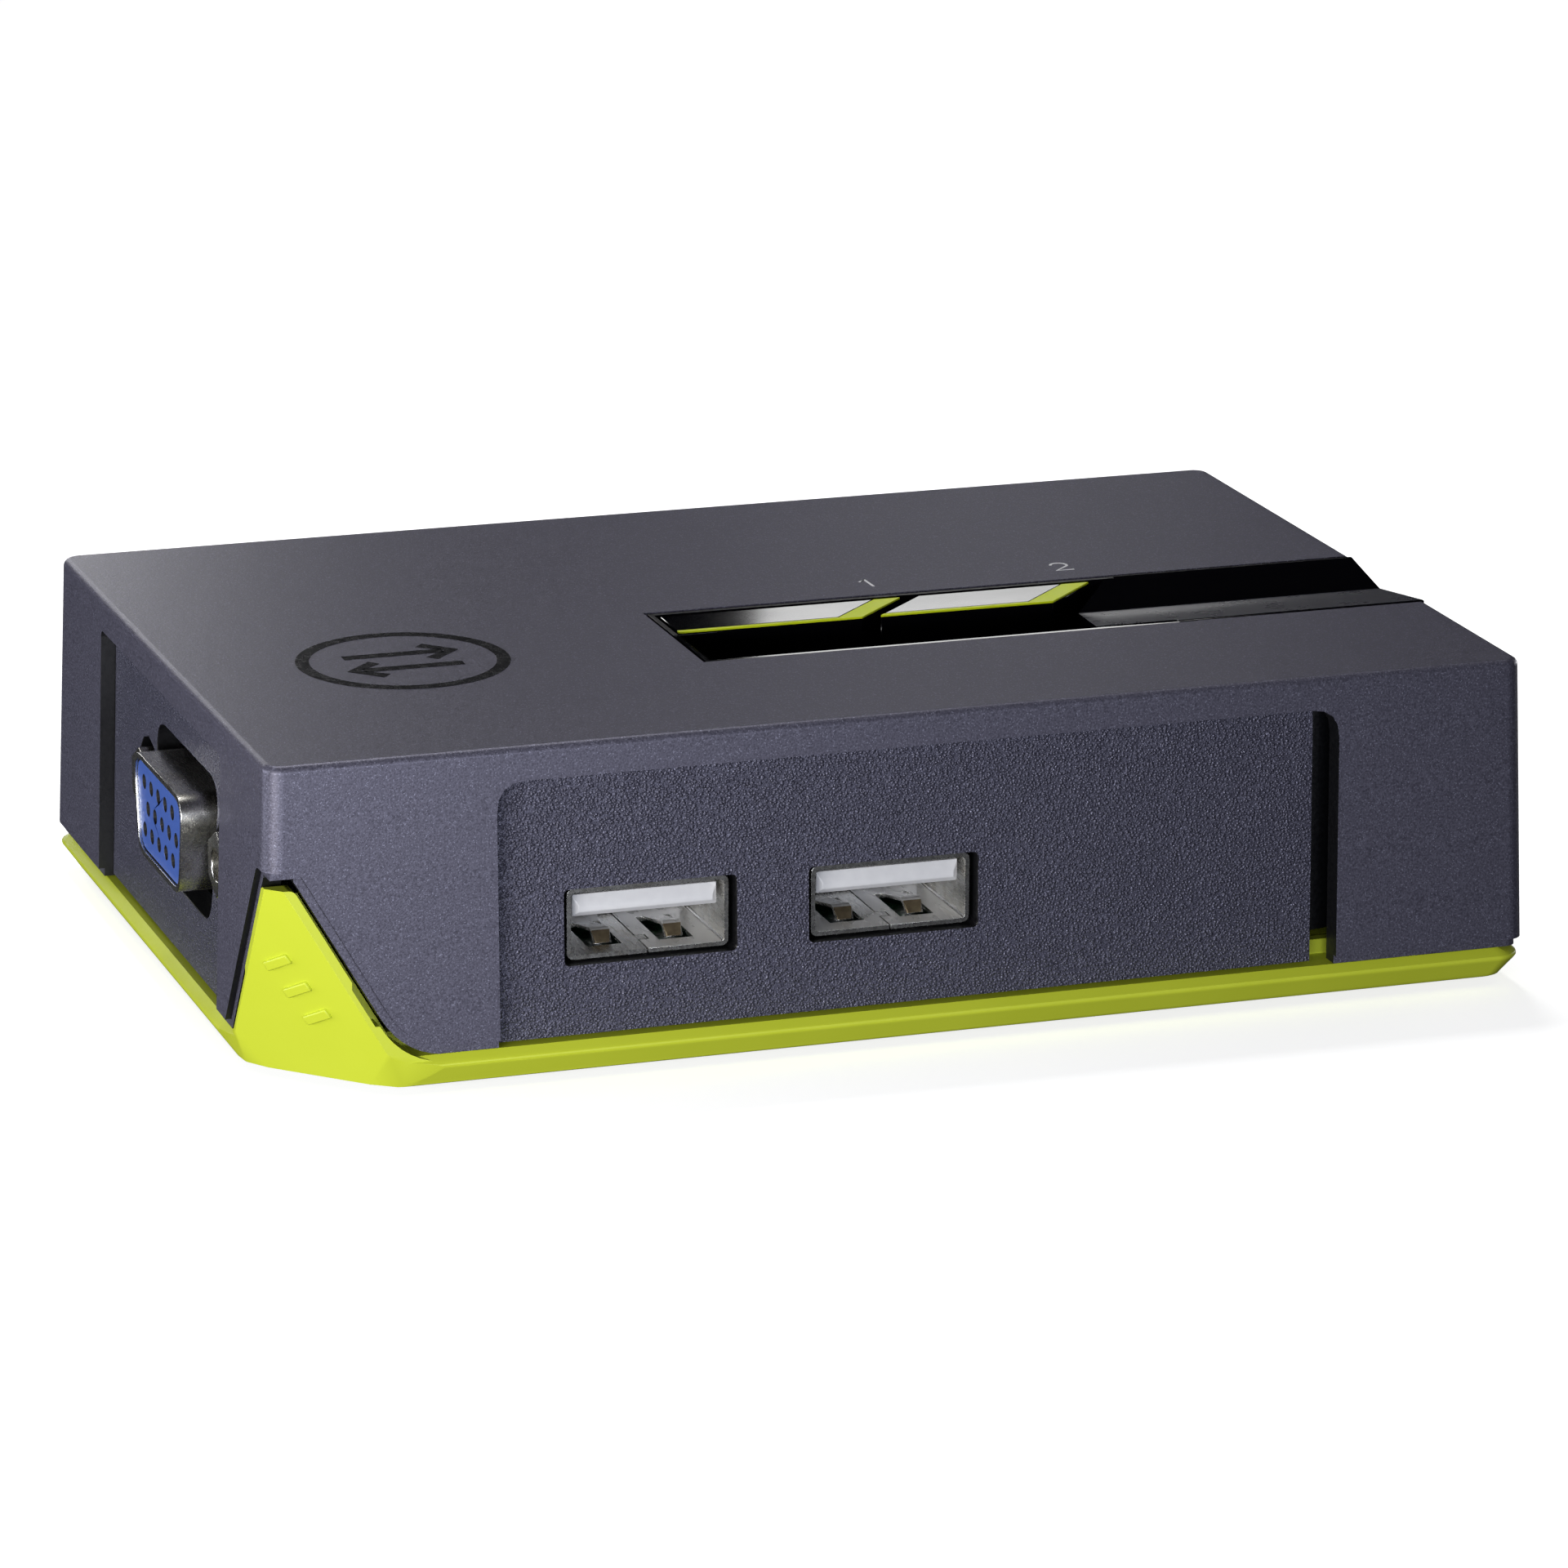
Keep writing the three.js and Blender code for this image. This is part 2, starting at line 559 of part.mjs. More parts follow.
// A D outline, wide side up, its short sides leaning in by ten degrees.
function dOutline(width, height, radius, x = 0, z = 0) {
  const lean = height * Math.tan(THREE.MathUtils.degToRad(10));
  return outline([
    [x - width / 2 + lean, z - height / 2],
    [x + width / 2 - lean, z - height / 2],
    [x + width / 2, z + height / 2],
    [x - width / 2, z + height / 2],
  ], radius);
}

const circle = (x, z, radius) => new THREE.Shape().absarc(x, z, radius, 0, 2 * Math.PI);

// The openings that one video socket needs in its panel: a roomy D and a lobe round each screw.
const videoOpenings = (x) => [
  dOutline(20.4, 12, 2.6, x, 14.1),
  ...screwOffsets.map((offset) => circle(x + offset, VIDEO.z, 3.5)),
];

// The nickel D shell and its flange, the flange's front face at y = 0.
function videoShell(name) {
  const outer = dOutline(VIDEO.shellWidth, VIDEO.shellHeight, 2.1);
  const inner = dOutline(VIDEO.shellWidth - 2 * VIDEO.shellWall, VIDEO.shellHeight - 2 * VIDEO.shellWall, 1.8);
  const halfX = VIDEO.flangeWidth / 2;
  const halfZ = VIDEO.flangeHeight / 2;
  const flange = runBack(rectangle(-halfX, halfX, -halfZ, halfZ, 0.8), 0, VIDEO.flangeThickness, 2);
  let shell = join(solid(flange), solid(runBack(outer, -VIDEO.reach, 0.4)));
  shell = cut(shell, solid(runBack(inner, -9, 3)));
  for (const offset of screwOffsets) {
    shell = cut(shell, solid(rodBack(1.7, offset, 0, -1, 2, 12)));
  }
  return mesh(name, shell, NICKEL);
}

// The blue insulator: a D core full of pin holes, and the block that stands on the board.
function videoInsulator(name) {
  const clear = 2 * (VIDEO.shellWall + 0.12);
  const core = dOutline(VIDEO.shellWidth - clear, VIDEO.shellHeight - clear, 1.7);
  const block = box(-9.5, 9.5, 1.1, 12.5, BOARD_TOP - VIDEO.z + 0.02, 5.4);
  let insulator = join(solid(runBack(core, -VIDEO.reach + 0.2, 1.5)), solid(block));
  for (const row of [-1, 0, 1]) {
    for (const column of [-2, -1, 0, 1, 2]) {
      const shift = row === 0 ? 0.57 : -0.57;
      const hole = rodBack(VIDEO.pinHole, column * 2.29 + shift, row * 1.98, -9, -2.5, 10);
      insulator = cut(insulator, solid(hole));
    }
  }
  return mesh(name, insulator, BLUE);
}

// A hexagonal jackscrew with a threaded hole, its stud through the flange.
function jackscrew(name, x) {
  const flats = 4.7;
  const face = -VIDEO.reach + 1.5;
  const cornerRadius = flats / 2 / Math.cos(Math.PI / 6);
  const hexagon = new THREE.CylinderGeometry(cornerRadius, cornerRadius, -face - 0.05, 6);
  const head = solid(hexagon.translate(x, (face - 0.05) / 2, 0));
  const stud = solid(rodBack(1.35, x, 0, -1, 1.6, 12));
  const hole = solid(rodBack(1.35, x, 0, face - 1, face + 3, 12));
  return mesh(name, cut(join(head, stud), hole), NICKEL);
}

function videoPort({ name, side, x }) {
  const wall = side.halfDepth + DRAFT * (TOP - VIDEO.z);
  const group = new THREE.Group();
  group.add(videoShell(name + "_shell"));
  group.add(videoInsulator(name + "_insulator"));
  group.add(jackscrew(name + "_jackscrew_left", screwOffsets[0]));
  group.add(jackscrew(name + "_jackscrew_right", screwOffsets[1]));
  group.rotation.z = side.turn;
  group.position.set(x, -wall - VIDEO.proud + VIDEO.reach, VIDEO.z);
  group.position.applyAxisAngle(new THREE.Vector3(0, 0, 1), side.turn);
  return group;
}

// ---------------------------------------------------------------- bezel and buttons
// The gloss bezel: a well for the buttons and a finger, and the valley that leads out of it.
function buttonBezel() {
  const blockRight = 31;
  const block = box(
    WELL.left + GAP, blockRight, WELL.front + GAP, GROOVE.back - GAP, WELL.floor - 1, TOP - 0.1,
  );
  const strip = cut(
    solid(box(blockRight - 1, WIDTH, GROOVE.front + GAP, GROOVE.back - GAP, TOP - 4, TOP - 0.05)),
    solid(box(blockRight - 2, WIDTH, -40, 20, -1, TOP - 3.9)),
  );
  const strippedUnder = solid(runRight(grooveProfile(BEZEL_SKIN, 0), blockRight - 1, WIDTH));
  const rim = BEZEL_RIM + GAP;
  const well = raise(
    outline([
      [WELL.left + rim, WELL.back],
      [WELL.left + rim, WELL.front + rim],
      [WELL_RIGHT[0][0], WELL.front + rim],
      WELL_RIGHT[1],
      WELL_RIGHT[2],
    ], 0),
    WELL.floor, TOP + 3,
  );
  const groove = solid(runRight(grooveProfile(0, GAP), GROOVE.start - 6, WIDTH + 5));
  let bezel = join(solid(block), strip.intersect(strippedUnder));
  bezel = cut(bezel, solid(well), groove).intersect(coverHull(0.05, 5, TOP));
  for (const { stemX } of BUTTONS) {
    bezel = cut(bezel, solid(rod(2.6, stemX, STEM_Y, 15, WELL.floor + 1)));
  }
  return mesh("button_bezel", bezel, GLOSS);
}

const buttonOutline = ({ frontX, backX }) => outline([
  [frontX[0], BUTTON_FRONT],
  [frontX[1], BUTTON_FRONT],
  [backX[1], BUTTON_BACK],
  [backX[0], BUTTON_BACK],
], 0);

// The lime trim's outline: a strip along the cap's front edge and a slanted end.
const trimOutline = ({ frontX, backX, trim }) => {
  const slope = (backX[1] - frontX[1]) / (BUTTON_BACK - BUTTON_FRONT);
  const stripBack = BUTTON_FRONT + TRIM.front;
  const left = frontX[0] + (backX[0] > frontX[0] ? slope * TRIM.front : 0);
  return outline([
    [frontX[0], BUTTON_FRONT],
    [frontX[1], BUTTON_FRONT],
    [backX[1], BUTTON_BACK],
    [trim[1], BUTTON_BACK],
    [trim[0] + slope * TRIM.front, stripBack],
    [left, stripBack],
  ], 0);
};

const SWITCH = { body: 6, bodyTop: BOARD_TOP + 3.5, plunger: 1.75, plungerTop: 16 };

// A gloss cap with a stem that presses the switch below it.
function buttonCap(button) {
  const block = solid(raise(buttonOutline(button), BUTTON_BOTTOM, BUTTON_TOP));
  const stem = solid(rod(2, button.stemX, STEM_Y, SWITCH.plungerTop + 0.05, BUTTON_BOTTOM + 0.5));
  const seat = solid(raise(trimOutline(button), BUTTON_TOP - TRIM.height, BUTTON_TOP + 1));
  return mesh(button.name + "_cap", cut(join(block, stem), seat), GLOSS);
}

function buttonTrim(button) {
  const trim = raise(trimOutline(button), BUTTON_TOP - TRIM.height + 0.02, BUTTON_TOP);
  return mesh(button.name + "_trim", solid(trim), LIME);
}

const switchNumber = (button) => button.name.replace("button", "switch");

function switchBody(button) {
  const half = SWITCH.body / 2;
  const { stemX } = button;
  const block = box(stemX - half, stemX + half, STEM_Y - half, STEM_Y + half, BOARD_TOP + 0.02, SWITCH.bodyTop);
  const hole = rod(SWITCH.plunger + 0.1, stemX, STEM_Y, BOARD_TOP + 1.5, SWITCH.bodyTop + 1);
  return mesh(switchNumber(button) + "_body", cut(solid(block), solid(hole)), EPOXY);
}

function switchPlunger(button) {
  const plunger = rod(SWITCH.plunger, button.stemX, STEM_Y, BOARD_TOP + 2.4, SWITCH.plungerTop);
  return mesh(switchNumber(button) + "_plunger", solid(plunger), WHITE);
}

function lamp(button) {
  const x = button.stemX + 5.5;
  const profile = [[0, BOARD_TOP + 0.02], [1.5, BOARD_TOP + 0.02], [1.5, 10.5], [1.05, 11.6], [0, 12]];
  return mesh(button.name.replace("button", "lamp"), solid(turned(profile, x, STEM_Y, 12)), LED);
}

// ---------------------------------------------------------------- board and what stands on it
function circuitBoard() {
  const shape = rectangle(-46, 46, -28.3, 28.3, 1);
  let board = solid(raise(shape, BOARD_TOP - BOARD_THICKNESS + 0.02, BOARD_TOP, 2));
  for (const { x, y } of CASE_SCREWS) {
    board = cut(board, solid(rod(SCREW.boss + 0.6, x, y, 5, 9)));
  }
  for (const { x, y } of BOARD_SCREWS) {
    board = cut(board, solid(rod(SCREW.shank + GAP, x, y, 5, 9, 12)));
  }
  return mesh("circuit_board", board, BOARD);
}

const onBoard = (x, y, width, depth, height) =>
  solid(box(x - width / 2, x + width / 2, y - depth / 2, y + depth / 2, BOARD_TOP + 0.02, BOARD_TOP + height));

function boardParts() {
  const group = new THREE.Group();
  group.add(mesh("video_switch_chip", onBoard(2, 8.2, 14, 14, 1.6), EPOXY));
  group.add(mesh("controller_chip", onBoard(-14, -8, 10, 10, 1.4), EPOXY));
  group.add(mesh("voltage_regulator", onBoard(30, 4, 6.5, 3.5, 1.8), EPOXY));
  group.add(mesh("crystal_can", solid(raise(rectangle(-27, -16, 10, 14.5, 2.2), BOARD_TOP + 0.02, 11.5)), STEEL));
  [[26, -18], [34, -18], [30, 11]].forEach(([x, y], i) => {
    const profile = [[0, 8.02], [2.5, 8.02], [2.5, 13.7], [2.2, 14], [0, 14]];
    group.add(mesh("capacitor_" + (i + 1), solid(turned(profile, x, y, 16)), FOIL));
  });
  return group;
}

// ---------------------------------------------------------------- fasteners and feet
// A cross-recessed screw pointing up: its head's lower face at z0.
function caseScrew({ name, x, y }) {
  const z0 = GAP;
  const head = rod(SCREW.head, x, y, z0, z0 + SCREW.headHeight);
  const shank = rod(SCREW.shank, x, y, z0 + 0.5, 12, 12);
  const cross = join(
    solid(box(x - 1.5, x + 1.5, y - 0.3, y + 0.3, z0 - 1, z0 + 0.7)),
    solid(box(x - 0.3, x + 0.3, y - 1.5, y + 1.5, z0 - 1, z0 + 0.7)),
  );
  return mesh(name, cut(join(solid(head), solid(shank)), cross), STEEL);
}

function boardScrew({ name, x, y }) {
  const head = rod(2.4, x, y, BOARD_TOP + 0.02, BOARD_TOP + 1.6);
  const shank = rod(1.1, x, y, 3, BOARD_TOP + 1, 12);
  const cross = solid(box(x - 1.4, x + 1.4, y - 0.3, y + 0.3, BOARD_TOP + 1, BOARD_TOP + 3));
  return mesh(name, cut(join(solid(head), solid(shank)), cross), STEEL);
}

function foot({ name, x, y }) {
  const profile = [
    [0, -FOOT_DROP], [FOOT.radius - 0.6, -FOOT_DROP], [FOOT.radius - 0.15, -FOOT_DROP + 0.25],
    [FOOT.radius, -FOOT_DROP + 0.6], [FOOT.radius, FOOT.recess - 0.05], [0, FOOT.recess - 0.05],
  ];
  return mesh(name, solid(turned(profile, x, y, 24)), RUBBER);
}

// ---------------------------------------------------------------- assembly
const [frontRecess, leftRecess, backRecess] = RECESSES;
const [consolePort, ...computerPorts] = VIDEO_PORTS;
const assembly = new THREE.Group();
assembly.add(topCover(), baseTray(), buttonBezel(), circuitBoard(), boardParts());
assembly.add(portPanel(frontRecess, USB.xs.map(usbOpening)));
assembly.add(portPanel(leftRecess, videoOpenings(consolePort.x)));
assembly.add(portPanel(backRecess, computerPorts.flatMap(({ x }) => videoOpenings(x))));
USB.xs.forEach((x, i) => {
  assembly.add(usbShell(`usb_socket_${i + 1}_shell`, x));
  assembly.add(usbTongue(`usb_socket_${i + 1}_tongue`, x));
});
VIDEO_PORTS.forEach((port) => assembly.add(videoPort(port)));
BUTTONS.forEach((button) => {
  assembly.add(buttonCap(button), buttonTrim(button), lamp(button));
  assembly.add(switchBody(button), switchPlunger(button));
});
CASE_SCREWS.forEach((screw) => assembly.add(caseScrew(screw)));
BOARD_SCREWS.forEach((screw) => assembly.add(boardScrew(screw)));
FEET.forEach((spot) => assembly.add(foot(spot)));

// The video sockets stand out on the left and at the back, past the base's edge.
const wallAtSocket = DRAFT * (TOP - VIDEO.z) + VIDEO.proud;
const overhangX = WIDTH / 2 + wallAtSocket - BOTTOM_X;
const overhangY = DEPTH / 2 + wallAtSocket - BOTTOM_Y;
assembly.position.set(overhangX / 2, -overhangY / 2, FOOT_DROP);

const kvmSwitch = new THREE.Group();
kvmSwitch.add(assembly);
export default kvmSwitch;
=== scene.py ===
"""A small KVM switch in a photo studio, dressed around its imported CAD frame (Blender 4.5, metres)."""
import json
import math
import statistics

import bmesh
import bpy
from mathutils import Matrix, Vector


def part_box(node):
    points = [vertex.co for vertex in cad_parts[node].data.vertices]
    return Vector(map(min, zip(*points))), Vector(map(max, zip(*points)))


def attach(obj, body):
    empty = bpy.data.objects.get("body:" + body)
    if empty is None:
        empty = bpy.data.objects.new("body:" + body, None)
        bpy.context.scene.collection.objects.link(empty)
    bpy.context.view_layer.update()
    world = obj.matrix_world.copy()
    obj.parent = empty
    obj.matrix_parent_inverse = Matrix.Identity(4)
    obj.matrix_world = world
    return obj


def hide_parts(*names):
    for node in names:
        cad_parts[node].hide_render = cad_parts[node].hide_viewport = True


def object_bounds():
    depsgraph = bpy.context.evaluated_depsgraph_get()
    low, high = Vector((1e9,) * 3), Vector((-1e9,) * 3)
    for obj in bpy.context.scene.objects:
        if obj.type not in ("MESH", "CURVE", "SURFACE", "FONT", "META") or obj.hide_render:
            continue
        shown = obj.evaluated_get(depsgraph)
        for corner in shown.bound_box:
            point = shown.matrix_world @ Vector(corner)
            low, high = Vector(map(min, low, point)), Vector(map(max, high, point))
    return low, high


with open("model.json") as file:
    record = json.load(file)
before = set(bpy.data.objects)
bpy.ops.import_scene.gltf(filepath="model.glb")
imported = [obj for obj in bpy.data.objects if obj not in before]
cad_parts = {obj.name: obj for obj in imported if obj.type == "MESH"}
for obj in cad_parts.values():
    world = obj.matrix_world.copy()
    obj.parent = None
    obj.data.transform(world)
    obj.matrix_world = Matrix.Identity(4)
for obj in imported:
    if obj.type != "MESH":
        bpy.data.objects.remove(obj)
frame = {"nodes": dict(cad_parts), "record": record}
cad_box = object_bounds()

MM = 0.001
HIGH = Vector(cad_box[1])
COVER_LOW, COVER_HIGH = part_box("top_cover")


# ---------------------------------------------------------------- procedural materials
class Surface:
    """A principled material, with short calls for the procedural nodes that feed it."""

    def __init__(self, name, color, roughness, metallic=0.0, **sockets):
        self.material = bpy.data.materials.new(name)
        self.material.use_nodes = True
        self.tree = self.material.node_tree
        self.bsdf = self.tree.nodes["Principled BSDF"]
        self.bsdf.inputs["Base Color"].default_value = (*color, 1)
        self.bsdf.inputs["Roughness"].default_value = roughness
        self.bsdf.inputs["Metallic"].default_value = metallic
        for socket, value in sockets.items():
            self.bsdf.inputs[socket.replace("_", " ")].default_value = value
        self.point = self.node("ShaderNodeTexCoord").outputs["Object"]

    def node(self, kind, inputs=None, **settings):
        made = self.tree.nodes.new(kind)
        for setting, value in settings.items():
            setattr(made, setting, value)
        for socket, value in (inputs or {}).items():
            if isinstance(value, bpy.types.NodeSocket):
                self.tree.links.new(value, made.inputs[socket])
            else:
                made.inputs[socket].default_value = value
        return made

    def noise(self, size, detail=2.0, stretch=(1, 1, 1)):
        """Noise whose blobs are about size metres across, longer along an axis with a stretch below 1."""
        scaled = self.node("ShaderNodeMapping", {"Vector": self.point, "Scale": stretch})
        inputs = {"Vector": scaled.outputs["Vector"], "Scale": 1 / size, "Detail": detail}
        return self.node("ShaderNodeTexNoise", inputs).outputs["Fac"]

    def cells(self, size, output="Distance", feature="F1"):
        inputs = {"Vector": self.point, "Scale": 1 / size}
        return self.node("ShaderNodeTexVoronoi", inputs, feature=feature).outputs[output]

    def span(self, value, low, high, to_low=0.0, to_high=1.0):
        """value's stretch from low to high, mapped to another stretch and held at its ends."""
        inputs = {0: value, 1: low, 2: high, 3: to_low, 4: to_high}
        return self.node("ShaderNodeMapRange", inputs).outputs[0]

    def mix(self, factor, first, second):
        made = self.node("ShaderNodeMix", data_type="RGBA")
        for index, value in ((0, factor), (6, first), (7, second)):
            if isinstance(value, bpy.types.NodeSocket):
                self.tree.links.new(value, made.inputs[index])
            elif index == 0:
                made.inputs[index].default_value = value
            else:
                made.inputs[index].default_value = (*value, 1)
        return made.outputs[2]

    def add(self, first, second, share=1.0):
        scaled = self.node("ShaderNodeMath", {0: second, 1: share}, operation="MULTIPLY").outputs[0]
        return self.node("ShaderNodeMath", {0: first, 1: scaled}, operation="ADD").outputs[0]

    def feed(self, socket, value):
        self.tree.links.new(value, self.bsdf.inputs[socket])

    def bump(self, height, distance, strength=1.0):
        inputs = {"Height": height, "Distance": distance, "Strength": strength}
        self.feed("Normal", self.node("ShaderNodeBump", inputs).outputs["Normal"])


def cover_paint():
    """Satin blue-grey metallic paint: fine orange peel and bright flakes."""
    paint = Surface("cover_paint", (0.08, 0.08, 0.11), 0.45, 0.4)
    grain = paint.noise(0.16 * MM, 3)
    flakes = paint.node("ShaderNodeSeparateColor", {0: paint.cells(0.08 * MM, "Color")}).outputs[0]
    sparkle = paint.span(flakes, 0.9, 1.0)
    body = paint.mix(paint.span(grain, 0.3, 0.7), (0.06, 0.057, 0.082), (0.124, 0.12, 0.166))
    paint.feed("Base Color", paint.mix(sparkle, body, (0.21, 0.21, 0.28)))
    paint.feed("Roughness", paint.span(grain, 0.3, 0.7, 0.38, 0.52))
    paint.bump(paint.add(grain, paint.noise(0.9 * MM), 0.6), 0.03 * MM, 0.5)
    return paint.material


def panel_plastic():
    """Coarse spark-eroded grain on the port panels: fine pebbles with bright flecks."""
    plastic = Surface("panel_plastic", (0.07, 0.07, 0.1), 0.42, 0.4)
    pebbles = plastic.span(plastic.cells(0.24 * MM), 0.1, 0.6, 1, 0)
    grain = plastic.noise(0.1 * MM, 2)
    flecks = plastic.node("ShaderNodeSeparateColor", {0: plastic.cells(0.08 * MM, "Color")}).outputs[0]
    body = plastic.mix(plastic.span(grain, 0.35, 0.7), (0.04, 0.039, 0.06), (0.104, 0.102, 0.148))
    plastic.feed("Base Color", plastic.mix(plastic.span(flecks, 0.9, 1.0), body, (0.22, 0.22, 0.3)))
    plastic.feed("Roughness", plastic.span(grain, 0.3, 0.7, 0.34, 0.48))
    plastic.bump(plastic.add(pebbles, grain, 0.6), 0.08 * MM, 1.0)
    return plastic.material


def lime_plastic():
    """Satin lime moulding with a faint texture and slow colour drift."""
    plastic = Surface("lime_plastic", (0.6, 0.72, 0.03), 0.42, 0.0)
    drift = plastic.noise(9 * MM, 2)
    grain = plastic.noise(0.35 * MM, 2)
    plastic.feed("Base Color", plastic.mix(drift, (0.5, 0.57, 0.03), (0.55, 0.62, 0.04)))
    plastic.feed("Roughness", plastic.span(grain, 0.3, 0.7, 0.36, 0.48))
    plastic.bump(grain, 0.008 * MM, 0.5)
    return plastic.material


def gloss_black():
    """Polished black plastic with faint wipe marks and a little dust."""
    plastic = Surface("gloss_black", (0.002, 0.002, 0.003), 0.1, 0.0)
    wipe = plastic.noise(2.5 * MM, 4, (0.3, 1, 1))
    dust = plastic.span(plastic.noise(0.12 * MM, 1), 0.78, 0.84)
    plastic.feed("Base Color", plastic.mix(dust, (0.002, 0.002, 0.003), (0.02, 0.02, 0.024)))
    plastic.feed("Roughness", plastic.span(wipe, 0.3, 0.8, 0.09, 0.11))
    return plastic.material


def nickel():
    """Bright nickel plating over drawn steel: soft streaks and slight tarnish."""
    metal = Surface("nickel", (0.7, 0.68, 0.62), 0.28, 1.0)
    streaks = metal.noise(0.25 * MM, 3, (1, 0.12, 1))
    tarnish = metal.noise(1.8 * MM, 2)
    metal.feed("Base Color", metal.mix(
        metal.span(tarnish, 0.5, 0.85), (0.78, 0.77, 0.73), (0.5, 0.46, 0.38)))
    metal.feed("Roughness", metal.span(streaks, 0.25, 0.75, 0.24, 0.3))
    metal.bump(tarnish, 0.004 * MM, 0.2)
    return metal.material


def nickel_floor_painted_sheen():
    """Pale, partly metallic nickel on a USB shell's floor: painted sheen, standing in for the bright
    reflection that the up-facing floor shows.
    """
    metal = Surface("nickel_floor_painted_sheen", (0.9, 0.89, 0.86), 0.3, 0.3)
    sheen_streaks = metal.noise(1.2 * MM, 2, (1, 0.3, 1))
    metal.feed("Base Color", metal.mix(sheen_streaks, (0.78, 0.77, 0.74), (0.95, 0.94, 0.92)))
    metal.feed("Roughness", metal.span(sheen_streaks, 0.3, 0.7, 0.24, 0.34))
    metal.bump(sheen_streaks, 0.006 * MM, 0.4)
    return metal.material


def leaf_tip_painted_reflection():
    """Dark brown metal at the tips of the contact leaves: painted reflection, the dark brownish reflection
    on their turned-down faces put into the colour.
    """
    metal = Surface("leaf_tip_painted_reflection", (0.3, 0.23, 0.14), 0.35, 0.8)
    tint = metal.noise(0.5 * MM, 3)
    metal.feed("Base Color", metal.mix(tint, (0.12, 0.09, 0.055), (0.26, 0.21, 0.13)))
    metal.feed("Roughness", metal.span(tint, 0.3, 0.7, 0.3, 0.45))
    metal.bump(tint, 0.01 * MM, 0.4)
    return metal.material


def moulded(name, dark, light, rough_low, rough_high, size):
    """A moulded plastic with a soft two-tone grain."""
    plastic = Surface(name, light, rough_high)
    grain = plastic.noise(size, 3)
    plastic.feed("Base Color", plastic.mix(grain, dark, light))
    plastic.feed("Roughness", plastic.span(grain, 0.3, 0.7, rough_low, rough_high))
    plastic.bump(grain, 0.01 * MM, 0.5)
    return plastic.material


def turned_steel():
    """Zinc-plated screw steel with fine turning marks."""
    metal = Surface("steel", (0.5, 0.5, 0.52), 0.3, 1.0)
    marks = metal.noise(0.2 * MM, 3, (1, 1, 0.2))
    metal.feed("Base Color", metal.mix(marks, (0.36, 0.36, 0.38), (0.6, 0.6, 0.61)))
    metal.feed("Roughness", metal.span(marks, 0.3, 0.7, 0.2, 0.4))
    metal.bump(marks, 0.01 * MM, 0.5)
    return metal.material


def rubber():
    """Matte black rubber with a light bloom."""
    soft = Surface("rubber", (0.02, 0.02, 0.02), 0.85)
    bloom = soft.noise(0.6 * MM, 4)
    soft.feed("Base Color", soft.mix(bloom, (0.014, 0.014, 0.015), (0.04, 0.04, 0.042)))
    soft.feed("Roughness", soft.span(bloom, 0.3, 0.7, 0.75, 0.95))
    soft.bump(bloom, 0.03 * MM, 0.6)
    return soft.material


def board_green():
    """Green solder mask with paler copper tracks under it, kept very dark: painted shade, standing in for
    the shadow seen through the socket slots.
    """
    board = Surface("board_green", (0.01, 0.06, 0.025), 0.3, 0.0)
    tracks = board.cells(2.2 * MM, feature="DISTANCE_TO_EDGE")
    board.feed("Base Color", board.mix(
        board.span(tracks, 0.08, 0.14), (0.008, 0.05, 0.02), (0.003, 0.02, 0.009)))
    board.feed("Roughness", board.span(board.noise(0.5 * MM), 0.3, 0.7, 0.25, 0.4))
    board.bump(board.span(tracks, 0.08, 0.14, 1, 0), 0.02 * MM, 0.5)
    return board.material


def white_print():
    """Pad-printed white ink, slightly uneven."""
    ink = Surface("white_print", (0.75, 0.75, 0.77), 0.5)
    wear = ink.noise(0.15 * MM, 2)
    ink.feed("Base Color", ink.mix(ink.span(wear, 0.3, 0.45), (0.5, 0.5, 0.52), (0.8, 0.8, 0.82)))
    return ink.material


MATERIALS = {
    "cover_paint": cover_paint(),
    # Bare black plastic, also used as painted shade in gaps, recesses and openings.
    "bare_plastic_and_shade": moulded(
        "bare_plastic_and_shade", (0.004, 0.004, 0.005), (0.009, 0.009, 0.011), 0.3, 0.45, 0.3 * MM),
    "nickel_floor_painted_sheen": nickel_floor_painted_sheen(),
    "leaf_tip_painted_reflection": leaf_tip_painted_reflection(),
    "trim_lime": moulded("trim_lime", (0.66, 0.78, 0.008), (0.74, 0.86, 0.015), 0.3, 0.4, 2 * MM),
    # Grey satin for the bezel's valley front slope: painted sheen, standing in for the dim reflection on
    # that slope.
    "groove_painted_sheen": moulded("groove_painted_sheen", (0.045, 0.045, 0.056), (0.058, 0.058, 0.072), 0.26, 0.3, 3 * MM),
    "mark_ink": moulded("mark_ink", (0.018, 0.018, 0.02), (0.026, 0.026, 0.029), 0.2, 0.3, 0.6 * MM),
    "panel_plastic": panel_plastic(),
    "lime_plastic": lime_plastic(),
    "gloss_black": gloss_black(),
    "nickel": nickel(),
    "white_plastic": moulded("white_plastic", (0.56, 0.56, 0.58), (0.64, 0.64, 0.65), 0.3, 0.45, 0.8 * MM),
    "blue_plastic": moulded("blue_plastic", (0.035, 0.085, 0.34), (0.07, 0.14, 0.46), 0.35, 0.5, 0.3 * MM),
    "board_green": board_green(),
    "black_epoxy": moulded("black_epoxy", (0.01, 0.01, 0.011), (0.03, 0.03, 0.03), 0.5, 0.7, 0.3 * MM),
    "steel": turned_steel(),
    "rubber": rubber(),
    "lamp_plastic": moulded("lamp_plastic", (0.6, 0.72, 0.5), (0.8, 0.9, 0.7), 0.1, 0.2, 0.5 * MM),
    "foil_sleeve": moulded("foil_sleeve", (0.05, 0.09, 0.22), (0.12, 0.18, 0.36), 0.25, 0.4, 0.6 * MM),
}
WHITE_PRINT = white_print()
